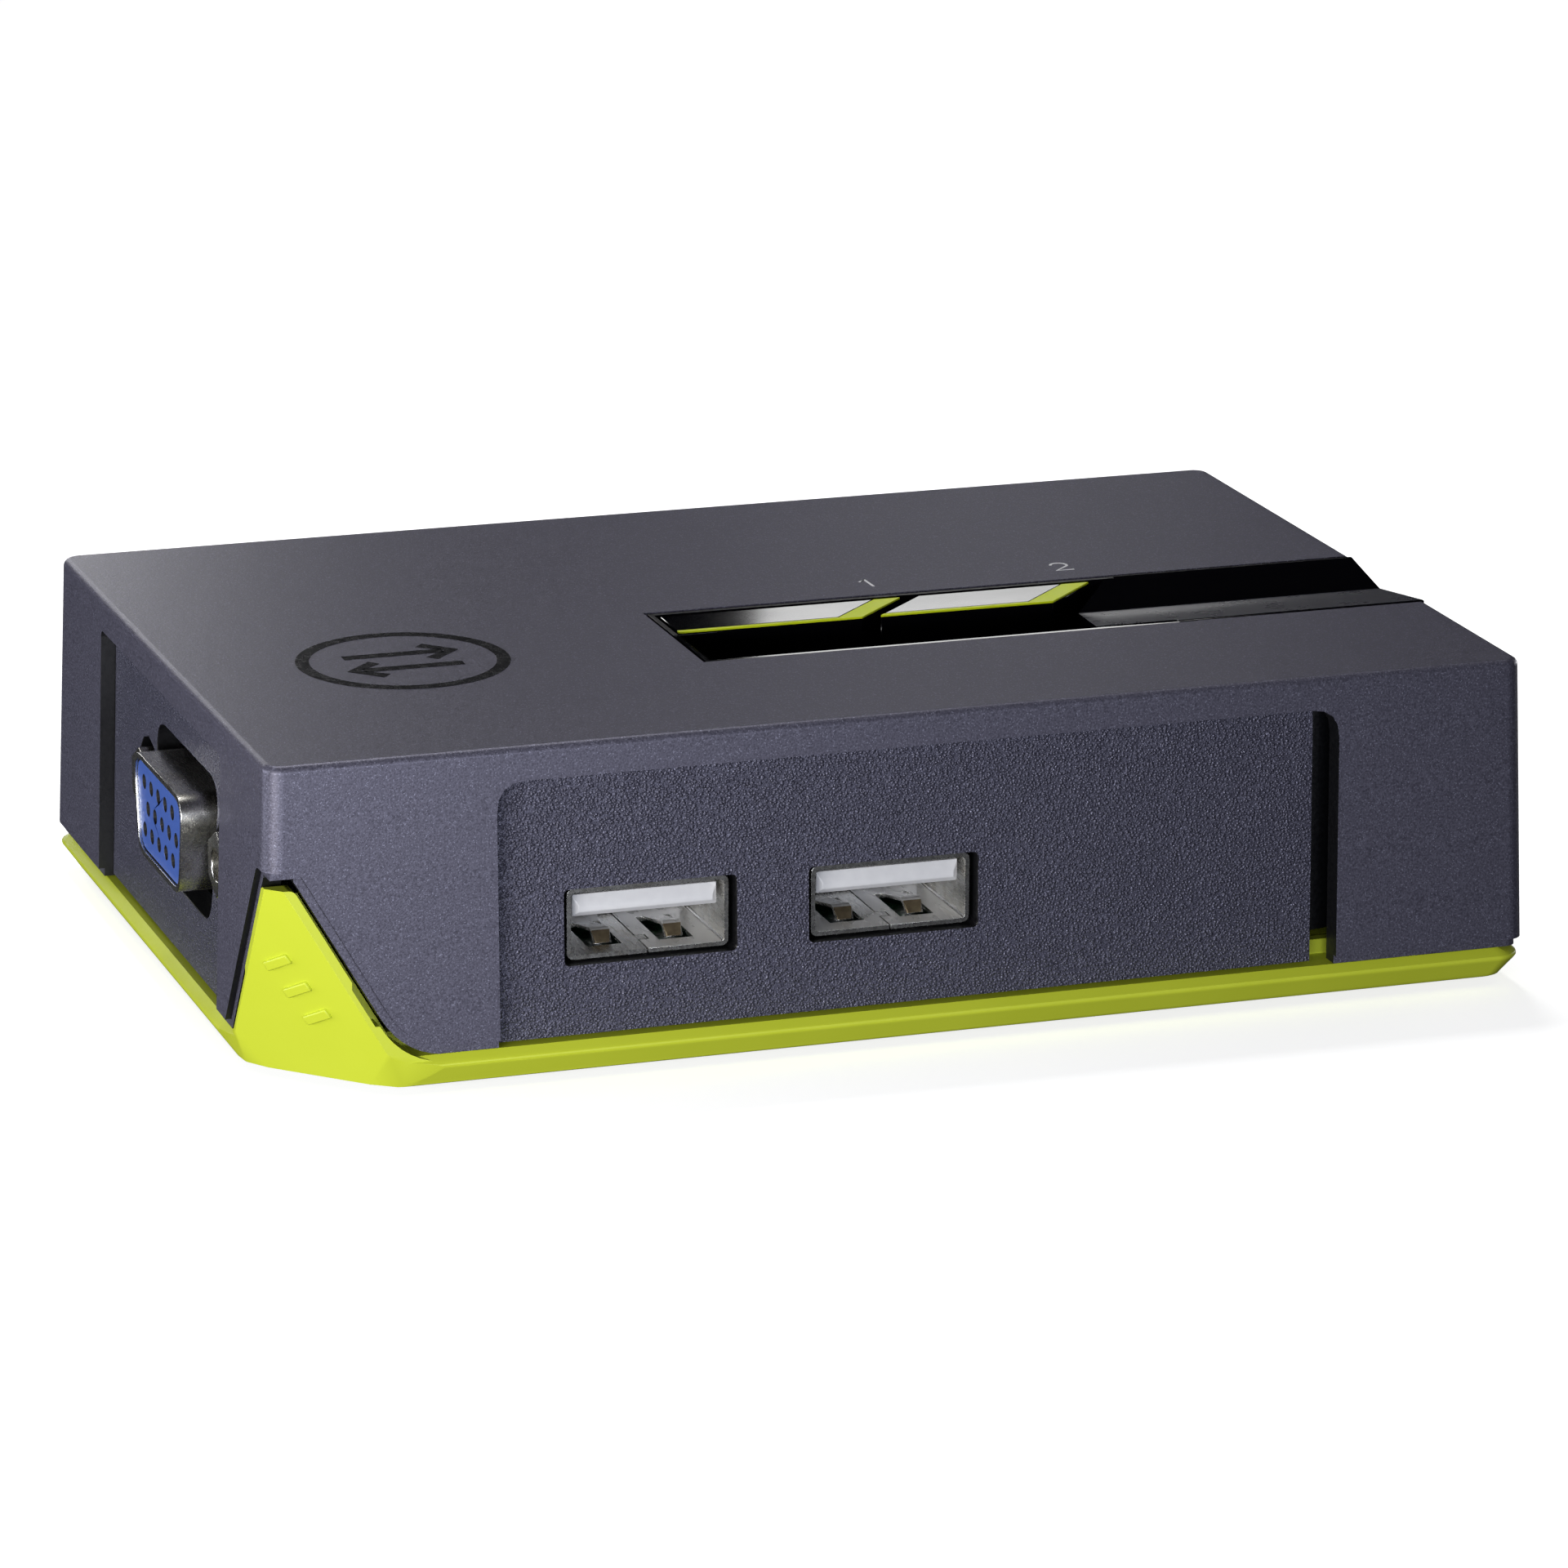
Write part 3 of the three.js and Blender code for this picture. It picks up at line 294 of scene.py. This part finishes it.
SLOT_OF = {part["node"]: part["material_slot"] for part in frame["record"]["subparts"]}
BODY_OF = {node: body for body, nodes in frame["record"]["behaviour"]["bodies"].items() for node in nodes}


# ---------------------------------------------------------------- pieces
def finish_piece(piece, body, material):
    """Gives a new piece its material and the body that it rides on."""
    piece.data.materials.clear()
    piece.data.materials.append(material)
    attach(piece, body)
    return piece


def piece_from(name, build, body, slot, material=None, bevel=0.0, smooth_angle=35):
    """A piece from a bmesh that build fills in, with its hard edges rounded by a bevel in metres."""
    mesh = bpy.data.meshes.new(name)
    shape = bmesh.new()
    build(shape)
    bmesh.ops.recalc_face_normals(shape, faces=shape.faces)
    shape.to_mesh(mesh)
    shape.free()
    piece = bpy.data.objects.new(name, mesh)
    bpy.context.scene.collection.objects.link(piece)
    soften(piece, bevel, smooth_angle)
    return finish_piece(piece, body, material or MATERIALS[slot])


def soften(piece, bevel, smooth_angle, segments=3):
    """Rounds a piece's hard edges and shades the rest smoothly."""
    bpy.context.view_layer.objects.active = piece
    if bevel > 0:
        rounded = piece.modifiers.new("rounded_edges", "BEVEL")
        rounded.width = bevel
        rounded.segments = segments
        rounded.limit_method = "ANGLE"
        rounded.angle_limit = math.radians(smooth_angle)
        rounded.use_clamp_overlap = True
        rounded.harden_normals = False
    piece.data.polygons.foreach_set("use_smooth", [True] * len(piece.data.polygons))
    piece.data.set_sharp_from_angle(angle=math.radians(smooth_angle + 5))
    weighted = piece.modifiers.new("even_shading", "WEIGHTED_NORMAL")
    weighted.keep_sharp = True


def refined(node, bevel, smooth_angle=35, reshape=None):
    """Replaces a CAD node with a copy whose flat faces are whole again and whose edges are rounded."""
    mesh = frame["nodes"][node].data.copy()
    shape = bmesh.new()
    shape.from_mesh(mesh)
    bmesh.ops.remove_doubles(shape, verts=shape.verts, dist=0.002 * MM)
    bmesh.ops.dissolve_limit(shape, angle_limit=math.radians(1), verts=shape.verts, edges=shape.edges)
    if reshape:
        reshape(shape)
    shape.to_mesh(mesh)
    shape.free()
    if "custom_normal" in mesh.attributes:
        mesh.attributes.remove(mesh.attributes["custom_normal"])
    piece = bpy.data.objects.new(node + "_fine", mesh)
    bpy.context.scene.collection.objects.link(piece)
    soften(piece, bevel, smooth_angle)
    finish_piece(piece, BODY_OF[node], MATERIALS[SLOT_OF[node]])
    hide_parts(node)
    return piece


PRINT = 0.03 * MM  # room left over the cover's top for ink and inlay
LEAN = 0.032  # how far the cover's sides lean in for each unit up
SKIN_LOW = COVER_LOW.z + 0.68 * MM  # lower edge of the cover's skin, above its lip
CORNER = 1.45 * MM  # radius of the cover's upright corners
EDGE = 0.6 * MM  # radius round the cover's top
PAINT_REACH = 0.6 * MM  # deepest surface that the spray reaches
PAINT_SPREAD = 0.1 * MM  # how far a painted face's corners may lie from one depth
RIM_DEPTH = 0.4 * MM  # the bezel's rim lies this close below the cover's top
RIM_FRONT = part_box("button_1_cap")[0].y - 1.2 * MM  # where the rim's narrow front stretch begins
TONGUE_CHAMFER = 0.42 * MM
SHELL_REACH = 5.8 * MM  # how far a video socket's shell stands out of its flange


def round_depth(first, second, radius):
    """Depth below a surface with a round edge, from the depths below the two faces that meet there."""
    if first < radius and second < radius:
        return radius - math.hypot(radius - first, radius - second)
    return min(first, second)


def depth_below_skin(point):
    """How deep a point lies below the cover's outer skin."""
    middle = (COVER_LOW + COVER_HIGH) / 2
    half = (COVER_HIGH - COVER_LOW) / 2
    lean = LEAN * (point.z - SKIN_LOW)
    below_x = half.x - lean - abs(point.x - middle.x)
    below_y = half.y - lean - abs(point.y - middle.y)
    return round_depth(round_depth(below_x, below_y, CORNER), COVER_HIGH.z - point.z, EDGE)


def lower_top(shape):
    """Sinks the top face by the thickness of the print, so that the print stays inside the CAD box."""
    for vertex in shape.verts:
        if vertex.co.z > HIGH.z - 0.5 * PRINT:
            vertex.co.z -= PRINT


def second_finish(piece, material, belongs):
    """Gives another material to the faces whose corners pass a test."""
    piece.data.materials.append(material)
    for face in piece.data.polygons:
        if belongs([piece.data.vertices[i].co for i in face.vertices]):
            face.material_index = len(piece.data.materials) - 1


def slope_of(corners):
    """A face's normal, from its first three corners."""
    normal = (corners[1] - corners[0]).cross(corners[2] - corners[0])
    return normal.normalized() if normal.length > 0 else normal


def on_front_slope(corners):
    """The valley's front slope, which faces up and a little to the back."""
    normal = slope_of(corners)
    return normal.z > 0.9 and normal.y > 0.05


def chamfer_front(shape):
    """Chamfers the edges round a tongue's front face."""
    front = min(shape.faces, key=lambda face: face.calc_center_median().y)
    edges = list(front.edges)
    bmesh.ops.bevel(shape, geom=edges, offset=TONGUE_CHAMFER, segments=1, profile=0.5, affect="EDGES")


def part_rim(shape):
    """Parts the bezel's rim, so that its front stretch has faces of its own."""
    everything = shape.verts[:] + shape.edges[:] + shape.faces[:]
    bmesh.ops.bisect_plane(shape, geom=everything, plane_co=(0, RIM_FRONT, 0), plane_no=(0, 1, 0))


def on_rim(corners):
    """The bezel's flat rim, apart from its front stretch."""
    flat = min(corner.z for corner in corners) > COVER_HIGH.z - RIM_DEPTH
    behind = sum(corner.y for corner in corners) > RIM_FRONT * len(corners)
    return flat and behind and slope_of(corners).z > 0.99


def on_floor(corners):
    """The floor inside a USB shell, which faces up below the tongue."""
    low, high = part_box("usb_socket_1_shell")
    return slope_of(corners).z > 0.9 and max(corner.z for corner in corners) < (low.z + high.z) / 2


def cut_edges(axis):
    """A test for a panel's cut edges, which don't face along the axis that it is thin in."""
    return lambda corners: abs(slope_of(corners)[axis]) < 0.9


def bare_and_shaded(corners):
    """Paint reaches only the faces that follow the cover's outside: the skin and the lip below it. The other
    faces get bare black plastic, which is also painted shade in the cover's gaps, recesses and the step
    under its skin.
    """
    depths = [depth_below_skin(corner) for corner in corners]
    usual = statistics.median(depths)
    spread = statistics.median([abs(depth - usual) for depth in depths])
    return usual > PAINT_REACH or spread > PAINT_SPREAD


cover = refined("top_cover", 0.12 * MM, reshape=lower_top)
# The cover's cut and recessed faces get bare black plastic: partly the unpainted moulding, partly painted
# shade in its gaps and under the skin's edge.
second_finish(cover, MATERIALS["bare_plastic_and_shade"], bare_and_shaded)
base = refined("base_tray", 0.3 * MM)
for panel, axis in (("front_panel", 1), ("left_panel", 0), ("back_panel", 1)):
    # The panels' cut edges get the bare black too: bare plastic, and painted shade round the openings.
    second_finish(refined(panel, 0.09 * MM), MATERIALS["bare_plastic_and_shade"], cut_edges(axis))
bezel = refined("button_bezel", 0.08 * MM, reshape=part_rim)
# The valley's front slope of the black bezel gets a grey colour: painted sheen for the dim reflection on it.
second_finish(bezel, MATERIALS["groove_painted_sheen"], on_front_slope)
# The rim behind the front stretch gets the rough bare black: painted shade, so it stays dark like the thin
# black gap there.
second_finish(bezel, MATERIALS["bare_plastic_and_shade"], on_rim)
for number in "12":
    refined(f"button_{number}_cap", 0.12 * MM)
    trim = refined(f"button_{number}_trim", 0.03 * MM)
    trim.data.materials[0] = MATERIALS["trim_lime"]
    shell = refined(f"usb_socket_{number}_shell", 0.06 * MM)
    # The floor inside each USB shell gets the pale nickel: painted sheen for its bright reflection.
    second_finish(shell, MATERIALS["nickel_floor_painted_sheen"], on_floor)
    refined(f"usb_socket_{number}_tongue", 0.06 * MM, reshape=chamfer_front)


def front_of(piece, outward):
    """How far out a piece reaches."""
    return max(vertex.co.dot(outward) for vertex in piece.data.vertices)


def video_port(port, outward):
    """Refines a video socket. Its flange and the insides of its contact holes are made black: painted shade,
    standing in for the dark void round the shell and the shade inside the holes.
    """
    shell = refined(port + "_shell", 0.14 * MM)
    flange = front_of(shell, outward) - SHELL_REACH

    def on_flange(corners):
        return max(corner.dot(outward) for corner in corners) < flange

    # Black on the flange is painted shade: the dark void seen round the shell.
    second_finish(shell, MATERIALS["black_epoxy"], on_flange)
    insulator = refined(port + "_insulator", 0.04 * MM)
    face = front_of(insulator, outward) - 0.1 * MM

    def behind_face(corners):
        return min(corner.dot(outward) for corner in corners) < face

    # Black inside the contact holes is painted shade.
    second_finish(insulator, MATERIALS["black_epoxy"], behind_face)
    for side in ("left", "right"):
        refined(f"{port}_jackscrew_{side}", 0.1 * MM)


video_port("console_video", Vector((-1, 0, 0)))
video_port("computer_1_video", Vector((0, 1, 0)))
video_port("computer_2_video", Vector((0, 1, 0)))

for node, cad in frame["nodes"].items():
    if not cad.hide_render:
        cad.data.materials.clear()
        cad.data.materials.append(MATERIALS[SLOT_OF[node]])


# ---------------------------------------------------------------- print on the cover
def ribbon(shape, points, width, low, high, closed=False):
    """A flat ribbon of even width along points in plan, from low to high."""
    count = len(points)
    rails = []
    for i, point in enumerate(points):
        before = points[(i - 1) % count] if closed or i else point
        after = points[(i + 1) % count] if closed or i < count - 1 else point
        along = (Vector(after) - Vector(before)).normalized()
        across = Vector((-along.y, along.x)) * width / 2
        corners = []
        for side in (across, -across):
            spot = Vector(point) + side
            corners.append([shape.verts.new((spot.x, spot.y, z)) for z in (low, high)])
        rails.append(corners)
    steps = count if closed else count - 1
    for i in range(steps):
        (a0, a1), (b0, b1) = rails[i]
        (c0, c1), (d0, d1) = rails[(i + 1) % count]
        for face in ((a1, b1, d1, c1), (a0, c0, d0, b0), (a0, a1, c1, c0), (b0, d0, d1, b1)):
            shape.faces.new(face)
    if not closed:
        for (a0, a1), (b0, b1) in (rails[0], rails[-1]):
            shape.faces.new((a0, b0, b1, a1))


PRINT_LOW = HIGH.z - 0.8 * PRINT
PRINT_HIGH = HIGH.z - 0.2 * PRINT


def arc(centre, radius, start, end, steps):
    """Points on an arc in plan, its angles in degrees."""
    angles = [math.radians(start + (end - start) * i / steps) for i in range(steps + 1)]
    return [(centre[0] + radius * math.cos(a), centre[1] + radius * math.sin(a)) for a in angles]


STROKE = 0.22 * MM


def digit(name, strokes, place, height):
    """A printed digit, its strokes drawn in a box one unit high."""
    def build(shape):
        points = [(place[0] + x * height, place[1] + y * height) for x, y in strokes]
        ribbon(shape, points, STROKE, PRINT_LOW, PRINT_HIGH)
    piece_from(name, build, "housing", "white_plastic", WHITE_PRINT)


DIGIT_HEIGHT = 2.3 * MM
ONE = [(-0.28, 0.22), (0, 0.5), (0.02, -0.5)]
TWO = arc((0, 0.2), 0.3, 170, -35, 12) + [(-0.32, -0.5), (0.34, -0.5)]
ONE_PLACE = (10.3 * MM, 4.3 * MM)
TWO_PLACE = (27.4 * MM, 4.6 * MM)
digit("digit_1", ONE, ONE_PLACE, DIGIT_HEIGHT)
digit("digit_2", TWO, TWO_PLACE, DIGIT_HEIGHT)


MARK_CENTRE = Vector((-33 * MM, -7.5 * MM))
MARK_RADIUS = 8 * MM
MARK_WIDTH = 1.1 * MM


def swap_mark():
    """A generic ring with two opposed arrows, in dark ink."""
    centre = MARK_CENTRE

    def build(shape):
        ring = arc(centre, MARK_RADIUS, 0, 360, 96)[:-1]
        ribbon(shape, ring, MARK_WIDTH, PRINT_LOW, PRINT_HIGH, closed=True)
        for direction in (1, -1):
            middle = centre.y + direction * 2 * MM
            tip = centre.x + direction * 4.6 * MM
            shaft = [(centre.x - direction * 4.4 * MM, middle), (tip - direction * 0.8 * MM, middle)]
            head = [(tip - direction * 2.2 * MM, middle + 2 * MM), (tip, middle),
                    (tip - direction * 2.2 * MM, middle - 2 * MM)]
            ribbon(shape, shaft, MARK_WIDTH, PRINT_LOW, PRINT_HIGH)
            ribbon(shape, head, MARK_WIDTH, PRINT_LOW, PRINT_HIGH)

    piece_from("swap_mark", build, "housing", "gloss_black", MATERIALS["mark_ink"])


swap_mark()


# ---------------------------------------------------------------- small raised pieces
def prism(shape, outline, direction):
    """A closed prism on an outline, run along a direction."""
    near = [shape.verts.new(point) for point in outline]
    far = [shape.verts.new(point + direction) for point in outline]
    shape.faces.new(near)
    shape.faces.new(far)
    for i in range(len(near)):
        j = (i + 1) % len(near)
        shape.faces.new((near[i], near[j], far[j], far[i]))


BAR_LENGTH = 2.5 * MM
BAR_WIDTH = 0.84 * MM
BAR_PITCH = 2.7 * MM
BAR_SUNK = 0.1 * MM  # how deep a bar's foot is let into the facet
BAR_HEIGHT = 0.36 * MM  # from its foot


def raised_bars():
    """Plain raised bars in a row down the lime corner."""
    facet = max(
        (face for face in base.data.polygons if face.normal.x < -0.3 and face.normal.y < -0.3),
        key=lambda face: face.area)
    normal = facet.normal.copy()
    up = (Vector((0, 0, 1)) - normal * normal.z).normalized()
    across = up.cross(normal)
    run = (across * 0.5 - up).normalized()
    side = run.cross(normal)
    start = facet.center + up * 1.4 * MM
    for i in (-1, 0, 1):
        middle = start + run * i * BAR_PITCH - normal * BAR_SUNK

        def build(shape):
            corners = [(-0.5, -0.5), (0.5, -0.5), (0.5, 0.5), (-0.5, 0.5)]
            outline = [middle + side * x * BAR_LENGTH + run * y * BAR_WIDTH for x, y in corners]
            prism(shape, outline, normal * BAR_HEIGHT)

        piece_from(f"corner_bar_{i + 2}", build, "housing", "lime_plastic", bevel=0.12 * MM)


SHELL_WALL = 0.35 * MM
LEAF_OFFSET = 2.9 * MM  # each leaf's distance from the middle of its shell
TIP_TOP = Vector((0, 3.08, 0.86)) * MM  # a tip's upper edge, from the floor's front edge
TIP_FOOT = Vector((0, 2.48, 0.02)) * MM
TIP_TOP_HALF = Vector((0.74 * MM, 0, 0))
TIP_FOOT_HALF = Vector((0.55 * MM, 0, 0))
TIP_THICKNESS = Vector((0, -0.08, 0.03)) * MM


def leaf_tips(number):
    """The dark tips of the spring leaves in a USB socket's floor."""
    low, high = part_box(f"usb_socket_{number}_shell")
    for label, offset in (("left", -LEAF_OFFSET), ("right", LEAF_OFFSET)):
        floor_front = Vector(((low.x + high.x) / 2 + offset, low.y, low.z + SHELL_WALL))
        top = floor_front + TIP_TOP
        foot = floor_front + TIP_FOOT

        def build(shape):
            outline = [top - TIP_TOP_HALF, top + TIP_TOP_HALF, foot + TIP_FOOT_HALF, foot - TIP_FOOT_HALF]
            prism(shape, outline, TIP_THICKNESS)

        # The tips' dark brown colour is painted reflection.
        piece_from(f"usb_socket_{number}_leaf_tip_{label}", build, "housing", "nickel",
                   MATERIALS["leaf_tip_painted_reflection"], bevel=0.03 * MM)


raised_bars()
for number in "12":
    leaf_tips(number)


# ---------------------------------------------------------------- studio and camera
FILL = 0.06  # how bright the surroundings are as soft light


def area_light(name, place, target, size, power, color=(1, 1, 1)):
    """A rectangular softbox at place, facing target."""
    light = bpy.data.lights.new(name, "AREA")
    light.shape = "RECTANGLE"
    light.size, light.size_y = size
    light.energy = power
    light.color = color
    lamp = bpy.data.objects.new(name, light)
    lamp.location = place
    lamp.rotation_euler = (Vector(target) - Vector(place)).to_track_quat("-Z", "Y").to_euler()
    lamp.visible_camera = False
    bpy.context.scene.collection.objects.link(lamp)


def floor():
    """A plain white table, kept bright enough to fade into the background."""
    mesh = bpy.data.meshes.new("studio_floor")
    half = 4.0
    corners = [(-half, -half, 0), (half, -half, 0), (half, half, 0), (-half, half, 0)]
    mesh.from_pydata(corners, [], [(0, 1, 2, 3)])
    ground = bpy.data.objects.new("studio_floor", mesh)
    bpy.context.scene.collection.objects.link(ground)
    pale = Surface("studio_white", (0.9, 0.9, 0.9), 0.9, Emission_Color=(1, 1, 1, 1), Emission_Strength=0.7)
    mesh.materials.append(pale.material)
    ground.visible_glossy = False
    ground.visible_diffuse = False


def camera():
    """A long lens, from the front left and a little above."""
    azimuth = math.radians(-18.8864)
    elevation = math.radians(16.2672)
    roll = math.radians(0.3339)
    distance = 573.54 * MM
    aim = Vector((0.376, -0.376, 13.8)) * MM
    back = Vector((
        math.sin(azimuth) * math.cos(elevation),
        -math.cos(azimuth) * math.cos(elevation),
        math.sin(elevation),
    ))
    right = Vector((math.cos(azimuth), math.sin(azimuth), 0))
    up = back.cross(right)
    place = aim + back * distance + right * 0.98 * MM - up * 1.59 * MM
    rolled_right = right * math.cos(roll) + up * math.sin(roll)
    rolled_up = up * math.cos(roll) - right * math.sin(roll)
    eye = bpy.data.cameras.new("camera")
    eye.sensor_width = 36
    eye.lens = 160.17
    eye.clip_start = 0.01
    holder = bpy.data.objects.new("camera", eye)
    turn = Matrix((rolled_right, rolled_up, back)).transposed()
    holder.matrix_world = Matrix.Translation(place) @ turn.to_4x4()
    bpy.context.scene.collection.objects.link(holder)
    bpy.context.scene.camera = holder


def studio():
    """White surroundings for the eye and for soft fill; only the softboxes show in the gloss."""
    world = bpy.data.worlds.new("studio")
    world.use_nodes = True
    tree = world.node_tree
    backdrop = tree.nodes["Background"]
    seen = tree.nodes.new("ShaderNodeLightPath").outputs["Is Camera Ray"]
    strength = tree.nodes.new("ShaderNodeMapRange")
    strength.inputs[3].default_value = FILL
    strength.inputs[4].default_value = 1.0
    tree.links.new(seen, strength.inputs[0])
    tree.links.new(strength.outputs[0], backdrop.inputs["Strength"])
    backdrop.inputs["Color"].default_value = (1, 1, 1, 1)
    world.cycles_visibility.glossy = False
    bpy.context.scene.world = world
    bpy.context.scene.view_settings.view_transform = "Standard"
    floor()
    centre = (0, 0, 0.013)
    near_corner = (-0.05, -0.03, 0.013)
    area_light("key_softbox", (-0.17, -0.16, 0.034), near_corner, (0.12, 0.05), 0.34, (1, 0.99, 0.98))
    area_light("front_strip", (-0.06, -0.26, 0.034), (-0.05, 0, 0.013), (0.14, 0.05), 0.3, (0.86, 0.9, 1))
    area_light("back_left_softbox", (-0.04, 0.36, 0.09), (-0.045, 0.03, 0.027), (0.14, 0.1), 0.22)
    area_light("button_softbox", (0.188, 0.45, 0.166), (0.01, 0, 0.026), (0.07, 0.035), 0.022)
    area_light("high_softbox", (0.0, 0.2, 0.5), centre, (0.2, 0.12), 1.35)
    area_light("left_strip", (-0.5, 0.12, 0.05), centre, (0.3, 0.06), 1.2, (0.9, 0.93, 1))
    area_light("far_strip", (0.45, 0.2, 0.03), centre, (0.2, 0.05), 0.5)


camera()
studio()
